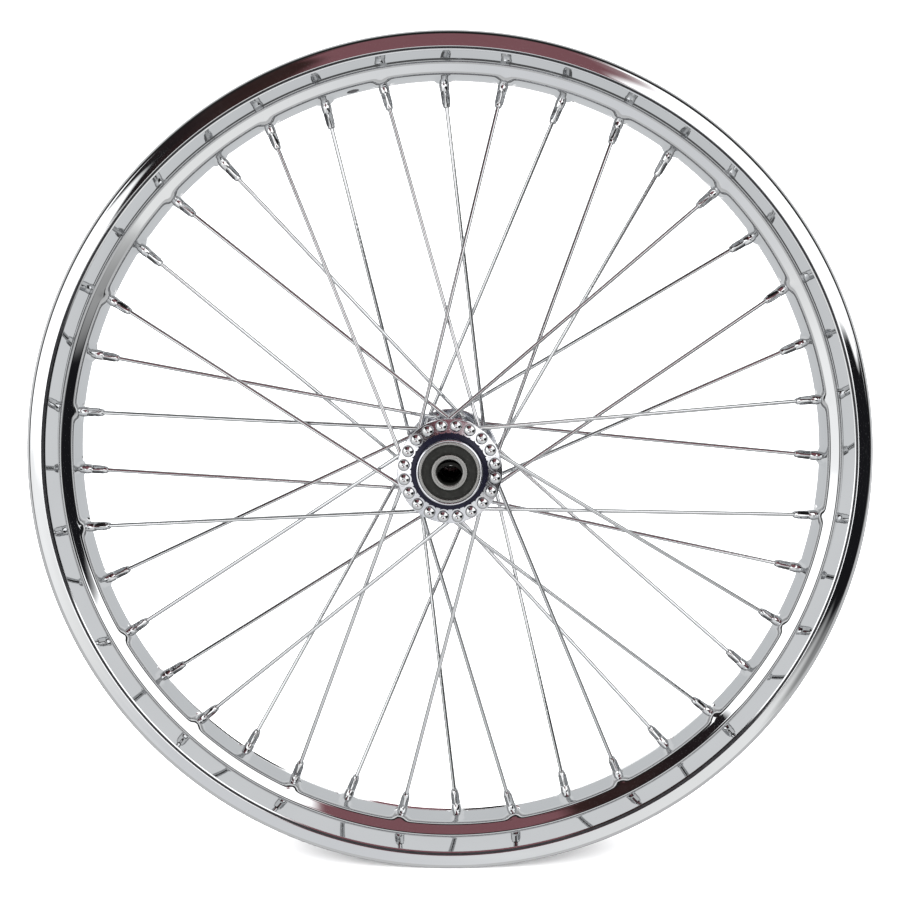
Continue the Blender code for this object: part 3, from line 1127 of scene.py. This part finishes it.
@dataclass
class Bearings:
    """The two sealed bearings and the tube between their inner rings."""

    ring_finish: GroundSteelFinish
    spacer_shade_finish: DullFinish
    ball_finish: GroundSteelFinish
    seal_finish: RubberFinish
    bore_shade_finish: DullFinish
    face: float
    hub_bore: float
    width: float = 12.0 * MM
    bore: float = 8.5 * MM
    tube: float = 11.0 * MM
    land: float = 11.6 * MM
    outer_land: float = 16.6 * MM
    radius: float = 20.0 * MM
    seal_radius: float = 18.1 * MM
    seal_inset: float = 0.35 * MM
    ball: float = 3.37 * MM
    pitch: float = 14.3 * MM
    balls: int = 8
    ball_rows: int = 14
    ball_sides: int = 24
    cage_radius: float = 13.2 * MM
    cage_sheet: float = 0.5 * MM
    cage_reach: float = 2.9 * MM
    segments: int = 144
    materials: dict[str, bpy.types.Material] = field(init=False, default_factory=dict)

    def ring(self, name: str, corners: Sequence[Corner], finish: Finish, body: str, node: str,
             droop: float = 0.0) -> None:
        """Turn one ring and hand it over.

        Args:
            name: Name of the piece.
            corners: Closed outline (radius, offset, rounding).
            finish: Finish that dresses it.
            body: CAD body that it moves with.
            node: CAD node that it stands for.
            droop: Distance that it hangs below the axle.
        """
        piece = turned(name, rounded(corners, turn=15.0), self.segments)
        piece.data.materials.append(self.materials[finish.name])
        # Painted shade: a near-black, shineless band on the faces inside the bore.
        dress_band(piece, self.materials[self.bore_shade_finish.name],
                   (0.0, self.bore + 0.3 * MM), (-MM, self.face - 0.6 * MM))
        piece.data.transform(Matrix.Translation((0, 0, -droop)))
        deliver(piece, body, finish.slot, node)

    def ball_set(self, label: str, middle: float, body: str) -> None:
        """Make the balls and their cage.

        Args:
            label: Which bearing.
            middle: Offset of the bearing's middle along the axle.
            body: CAD body of the cage.
        """
        material = self.materials[self.ball_finish.name]
        angles = np.arange(self.ball_sides) * math.tau / self.ball_sides
        rings = []
        for row in range(self.ball_rows + 1):
            turn = math.radians(2 + 176 * row / self.ball_rows)
            radius = self.ball * math.sin(turn)
            rings.append(np.column_stack((
                self.pitch + radius * np.cos(angles),
                np.full(self.ball_sides, middle + self.ball * math.cos(turn)),
                radius * np.sin(angles))))
        faces = ring_faces(len(rings), self.ball_sides, closed=False)
        balls = new_piece(f"{label}_balls", np.vstack(rings), faces, sharp=60.0)
        repeat_round(balls, self.balls, 0.0, material)
        deliver(balls, body, self.ball_finish.slot, f"{label}_ball_set")
        inner, outer = self.cage_radius, self.cage_radius + self.cage_sheet
        low, high = middle - self.cage_reach, middle + self.cage_reach
        outline = [(inner, low), (inner, high), (outer, high), (outer, low)]
        cage = turned(f"{label}_cage", outline, self.segments)
        cage.data.materials.append(material)
        deliver(cage, body, self.ball_finish.slot)

    def seal(self, top: float, way: int) -> list[Corner]:
        """Section of a moulded seal.

        Args:
            top: Offset of its outer face along the axle.
            way: Side that the face looks to, as the sign of its Y.

        Returns:
            Corners (radius, offset, rounding) of the closed section.
        """
        foot, rim = self.land, self.seal_radius
        # Radius, then depth below the outer face and rounding in millimetres
        course = [(foot + 0.12 * MM, 0.45, 0.15), (foot + 0.5 * MM, 0.05, 0.2),
                  (foot + 1.1 * MM, 0.4, 0.15), (foot + 1.5 * MM, 0.15, 0.2),
                  (rim - 1.4 * MM, 0.0, 0.3), (rim - 0.9 * MM, 0.35, 0.15),
                  (rim - 0.08 * MM, 0.2, 0.2), (rim - 0.08 * MM, 1.15, 0.1),
                  (foot + 0.12 * MM, 1.15, 0.1)]
        return [(radius, top - way * depth * MM, rounding * MM)
                for radius, depth, rounding in course]

    def bearing(self, side: Side) -> None:
        """Make one bearing.

        Args:
            side: Side of the hub that it sits in.
        """
        half = self.width / 2
        shoulder, recess = 2.6 * MM, half - 2.0 * MM
        label = f"{side.name.lower()}_bearing"
        middle = side.value * (self.face - half)
        outer = [(self.pitch + self.ball, 0.0, 0.0), (self.outer_land, shoulder, 0.2 * MM),
                 (self.outer_land, recess, 0.2 * MM), (self.seal_radius, recess, 0.2 * MM),
                 (self.seal_radius, half, 0.25 * MM), (self.radius, half, 0.5 * MM)]
        inner = [(self.bore, half, 0.7 * MM), (self.land, half, 0.3 * MM),
                 (self.land, shoulder, 0.2 * MM), (self.pitch - self.ball, 0.0, 0.0)]
        for where, corners, body in (("outer", outer, "wheel"), ("inner", inner, "axle_set")):
            self.ring(f"{label}_race_{where}", self.across(corners, middle), self.ring_finish,
                      body, f"{label}_{where}_ring")
        for where, way in (("outer", side.value), ("inner", -side.value)):
            corners = self.seal(middle + way * (half - self.seal_inset), way)
            self.ring(f"{label}_{where}_shield", corners, self.seal_finish, "wheel",
                      f"{label}_{where}_seal")
        self.ball_set(label, middle, f"{side.name.lower()}_cage")

    def build(self) -> None:
        """Make both bearings and the spacer."""
        for finish in (self.ring_finish, self.spacer_shade_finish, self.ball_finish, self.seal_finish,
                       self.bore_shade_finish):
            self.materials[finish.name] = finish.build()
        for side in Side:
            self.bearing(side)
        end = self.face - self.width - 0.1 * MM
        tube = [(self.bore + 0.2 * MM, end, 0.3 * MM), (self.tube, end, 0.5 * MM)]
        # The spacer tube takes painted shade, near-black.
        self.ring("spacer_tube", mirrored(tube), self.spacer_shade_finish, "axle_set", "bearing_spacer",
                  droop=self.hub_bore - self.tube - 0.05 * MM)

    @staticmethod
    def across(corners: Sequence[Corner], middle: float) -> list[Corner]:
        """Mirror a half outline about a bearing's middle and move it there."""
        return [(radius, middle + offset, rounding)
                for radius, offset, rounding in mirrored(corners)]


# ---------------------------------------------------------------- studio


class Room(NodeBuilder):
    """World light: the room that the chrome mirrors, laid out by direction."""

    # Stops, in degrees round the way straight ahead, from the right and upwards
    BANDS: Stops = [
        (0, (0.006, 0.006, 0.007)), (13, (0.006, 0.006, 0.007)),
        (17, (1.0, 1.0, 1.0)), (62, (1.0, 1.0, 1.0)),
        (68, (0.135, 0.058, 0.066)), (106, (0.135, 0.058, 0.066)),
        (112, (0.025, 0.012, 0.011)), (138, (0.006, 0.006, 0.007)),
        (142, (1.0, 1.0, 1.0)), (178, (1.0, 1.0, 1.0)),
        (183, (0.66, 0.66, 0.66)), (205, (0.56, 0.56, 0.555)),
        (228, (0.44, 0.445, 0.455)), (262, (0.44, 0.445, 0.455)),
        (300, (0.56, 0.56, 0.555)), (320, (0.56, 0.56, 0.555)),
        (338, (0.006, 0.006, 0.007)), (360, (0.006, 0.006, 0.007))]
    CENTRE = (0.018, 0.154)  # where the wheel's middle looks, to the left and down
    PLAIN = (1.5, 1.5, 1.5, 1.0)  # light on everything that doesn't mirror
    STRENGTH = 2.0

    def __init__(self) -> None:
        """Start an empty world."""
        world = bpy.data.worlds.new("studio room")
        bpy.context.scene.world = world
        world.use_nodes = True
        super().__init__(world.node_tree)
        self.tree.nodes.clear()

    def ramp(self, value: Socket, stops: Stops) -> Socket:
        """Add a colour ramp over a whole turn.

        Args:
            value: Share of the turn.
            stops: Degrees and colour of each stop.

        Returns:
            The colour.
        """
        made = self.node("ShaderNodeValToRGB")
        self.feed(value, made.inputs["Fac"])
        elements = made.color_ramp.elements
        while len(elements) < len(stops):
            elements.new(0.5)
        for element, (degrees, colour) in zip(elements, stops):
            element.position = degrees / 360
            element.color = (*colour, 1)
        return made.outputs["Color"]

    def blend(self, share: Socket, first: Socket, second: object) -> Socket:
        """Blend two colours.

        Args:
            share: Share of the second colour.
            first: Colour at 0.
            second: Colour at 1.

        Returns:
            The blended colour.
        """
        made = self.node("ShaderNodeMix", data_type="RGBA")
        self.feed(share, made.inputs["Factor"])
        self.feed(first, made.inputs[6])
        self.feed(second, made.inputs[7])
        return made.outputs[2]

    def ease(self, value: Socket, start: float, end: float) -> Socket:
        """Rise smoothly from 0 to 1.

        Args:
            value: Value to follow.
            start: Value that gives 0.
            end: Value that gives 1.

        Returns:
            The share.
        """
        made = self.node("ShaderNodeMapRange", interpolation_type="SMOOTHSTEP")
        self.feed(value, made.inputs["Value"])
        self.feed(start, made.inputs["From Min"])
        self.feed(end, made.inputs["From Max"])
        return made.outputs["Result"]

    def rings(self, spread: Socket, rim: float, side: float, back: float) -> Socket:
        """Brightness of the room by the angle from straight ahead.

        Args:
            spread: The angle, as a share of a turn.
            rim: Brightness just outside the front walls.
            side: Brightness to the side.
            back: Brightness just behind the wheel's plane.

        Returns:
            The colour.
        """
        pale, dusk = (0.43, 0.435, 0.44), (0.37, 0.378, 0.385)
        return self.ramp(spread, [
            (0, (rim,) * 3), (70, (rim,) * 3), (74, (side,) * 3), (90, (side,) * 3),
            (95, (back,) * 3), (114, (back,) * 3), (122, pale), (132, pale),
            (140, dusk), (180, dusk)])

    def build(self) -> None:
        """Lay out the room: bands in front and behind, rings of grey to the sides."""
        compass = self.node("ShaderNodeTexCoord").outputs["Generated"]
        way = self.node("ShaderNodeSeparateXYZ")
        self.feed(compass, way.inputs[0])
        ahead = self.maths("MULTIPLY", way.outputs["Y"], -1.0)
        facing = self.maths("MAXIMUM", ahead, 0.0)
        across = self.maths("MULTIPLY_ADD", facing, self.CENTRE[0], way.outputs["X"])
        upward = self.maths("MULTIPLY_ADD", facing, self.CENTRE[1], way.outputs["Z"])
        squares = [self.maths("MULTIPLY", part, part) for part in (across, upward)]
        aside = self.maths("SQRT", self.maths("ADD", *squares))
        spread = self.maths("DIVIDE", self.maths("ARCTAN2", aside, ahead), math.tau)
        bend = self.maths("MULTIPLY_ADD", self.noise(5.0, 1.0, compass), 0.5, -0.25)
        bend = self.maths("MULTIPLY", bend, self.ease(spread, 8 / 360, 22 / 360))
        turn = self.maths("ADD", self.maths("ARCTAN2", upward, across), bend)
        share = self.maths("ADD", self.maths("DIVIDE", turn, math.tau), 1.0)
        walls = self.ramp(self.maths("FRACT", share), self.BANDS)
        high = self.rings(spread, rim=0.010, side=0.48, back=0.26)
        low = self.rings(spread, rim=0.33, side=0.36, back=0.07)
        sideways = self.blend(self.ease(upward, -0.05, -0.35), high, low)
        room = self.blend(self.ease(spread, 56 / 360, 60 / 360), walls, sideways)
        room = self.blend(self.ease(spread, 168 / 360, 172 / 360), room, walls)
        plain = self.node("ShaderNodeRGB").outputs[0]
        plain.default_value = self.PLAIN
        mirrored_ray = self.node("ShaderNodeLightPath").outputs["Is Glossy Ray"]
        light = self.node("ShaderNodeBackground")
        self.feed(self.blend(mirrored_ray, plain, room), light.inputs["Color"])
        self.feed(self.STRENGTH, light.inputs["Strength"])
        self.feed(light.outputs[0], self.node("ShaderNodeOutputWorld").inputs["Surface"])


@dataclass
class Studio:
    """Pale floor, soft light, the room that the chrome mirrors, and the camera."""

    floor: float
    distance: float = 0.65888
    azimuth: float = math.radians(0.977)
    elevation: float = math.radians(8.228)
    target: tuple[float, float, float] = (0.010093, 0.0, 0.022771)
    view_width: float = 952.68 / 900
    sensor: float = 36.0
    shift: tuple[float, float] = (-0.01685, -0.02215)
    sheet_front: float = -1.5
    sheet_back: float = 2.2
    sheet_bend: float = 0.9
    sheet_top: float = 3.2
    sheet_half: float = 4.0
    bend_steps: int = 16

    def sheet(self) -> None:
        """Floor that curves up into a backdrop behind the wheel."""
        bend, corner = self.sheet_bend, self.sheet_back - self.sheet_bend
        course = [(self.sheet_front, self.floor), (corner, self.floor)]
        for step in range(1, self.bend_steps + 1):
            turn = math.radians(90 * step / self.bend_steps)
            course.append((corner + bend * math.sin(turn),
                           self.floor + bend * (1 - math.cos(turn))))
        course.append((self.sheet_back, self.sheet_top))
        verts = np.array([(side * self.sheet_half, y, z) for y, z in course for side in (-1, 1)])
        faces = [(2 * row, 2 * row + 1, 2 * row + 3, 2 * row + 2)
                 for row in range(len(course) - 1)]
        piece = new_piece("studio_sheet", verts, faces)
        shader = Shader("pale studio sheet")
        shader.feed(0.9, shader.surface["Roughness"])
        shader.feed(0.0, shader.surface["Specular IOR Level"])
        shader.tint(shader.cloud(scale=1.5, detail=2.0), (0.90, 0.90, 0.905), (0.92, 0.92, 0.925))
        piece.data.materials.append(shader.material)
        piece.visible_glossy = False

    def lights(self) -> None:
        """Large soft lights that lift the floor and don't show in the chrome."""
        softboxes = (("top softbox", (0, -0.6, 2.6), 4.0, 26.0),
                     ("front softbox", (-1.4, -2.2, 1.4), 2.0, 18.0))
        for name, spot, size, power in softboxes:
            data = bpy.data.lights.new(name, "AREA")
            data.size = size
            data.energy = power
            lamp = bpy.data.objects.new(name, data)
            lamp.location = spot
            lamp.rotation_euler = (-Vector(spot)).to_track_quat("-Z", "Y").to_euler()
            lamp.visible_glossy = False
            bpy.context.scene.collection.objects.link(lamp)

    def camera(self) -> None:
        """Camera a little above the axle, square to the wheel."""
        data = bpy.data.cameras.new("camera")
        data.sensor_width = self.sensor
        data.lens = self.sensor * self.view_width
        data.shift_x, data.shift_y = self.shift
        data.clip_end = 50.0
        eye = self.distance * Vector((math.sin(self.azimuth) * math.cos(self.elevation),
                                      -math.cos(self.azimuth) * math.cos(self.elevation),
                                      math.sin(self.elevation)))
        item = bpy.data.objects.new("camera", data)
        item.location = eye
        item.rotation_euler = (Vector(self.target) - eye).to_track_quat("-Z", "Y").to_euler()
        bpy.context.scene.collection.objects.link(item)
        bpy.context.scene.camera = item

    def build(self) -> None:
        """Set up the studio."""
        self.sheet()
        Room().build()
        self.lights()
        self.camera()
        bpy.context.scene.view_settings.view_transform = "Standard"


def main() -> None:
    """Build every sub-assembly in order."""
    logging.basicConfig(level=logging.INFO, format="%(name)s: %(message)s")
    rim_chrome = ChromeFinish(
        "rim chrome", (0.665, 0.675, 0.685), haze=0.035, wave=29 * MM, wobble=0.02 * MM,
        slot="rim_chrome")
    hub_chrome = ChromeFinish(
        "hub chrome", (0.66, 0.67, 0.70), haze=0.05, wave=12 * MM, wobble=0.02 * MM,
        slot="hub_chrome")
    spoke_chrome = ChromeFinish(
        "spoke chrome", (0.58, 0.59, 0.60), haze=0.035, wave=2.2 * MM, wobble=0.16 * MM,
        slot="spoke_chrome")
    nipple_chrome = ChromeFinish(
        "nipple chrome", (0.68, 0.69, 0.70), haze=0.03, wave=3.0 * MM, wobble=0.08 * MM,
        slot="spoke_chrome")
    ring_steel = GroundSteelFinish(
        "bearing steel", (0.36, 0.36, 0.35), roughness=0.26, pitch=0.8 * MM,
        slot="bearing_steel")
    ball_steel = GroundSteelFinish(
        "ball steel", (0.62, 0.62, 0.62), roughness=0.10, pitch=0.9 * MM, slot="ball_steel")
    # Painted shade: the spacer tube inside the bore is near-black.
    spacer_shade_steel = DullFinish(
        "spacer steel painted with shade", (0.014, 0.014, 0.013), roughness=0.5, metal=0.2, gloss=0.1,
        slot="spacer_steel")
    # Painted shade for the crease under the rim's rolled lip.
    crease = DullFinish("painted lip crease shade", (0.02, 0.02, 0.022), roughness=0.4)
    inside = DullFinish("unpolished plating", (0.09, 0.09, 0.094), roughness=0.35)
    # Painted shade for the inside of the bores in the hub and the bearings.
    painted_bore_shade = DullFinish(
        "bore painted shade", (0.010, 0.010, 0.009), roughness=0.6, metal=0.0, gloss=0.0)
    # Near-black, faintly blue satin for the hub's recess round the bearing mouth.
    recess = DullFinish("hub recess", (0.004, 0.004, 0.012), roughness=0.3, metal=0.4, gloss=0.3)
    rubber = RubberFinish("seal rubber", (0.0045, 0.0048, 0.0038), slot="seal_rubber")
    lacing = Lacing()
    hub = Hub(lacing, hub_chrome, recess, painted_bore_shade)
    Rim(lacing, rim_chrome, crease, inside).build()
    SpokeSet(lacing, spoke_chrome, nipple_chrome, hub.face).build()
    hub.build()
    Bearings(ring_steel, spacer_shade_steel, ball_steel, rubber, painted_bore_shade,
             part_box("far_bearing_inner_ring")[1][1], hub.bore).build()
    Studio(floor=cad_bounds[0][2] - 0.1 * MM).build()


if __name__ == "__main__":
    main()
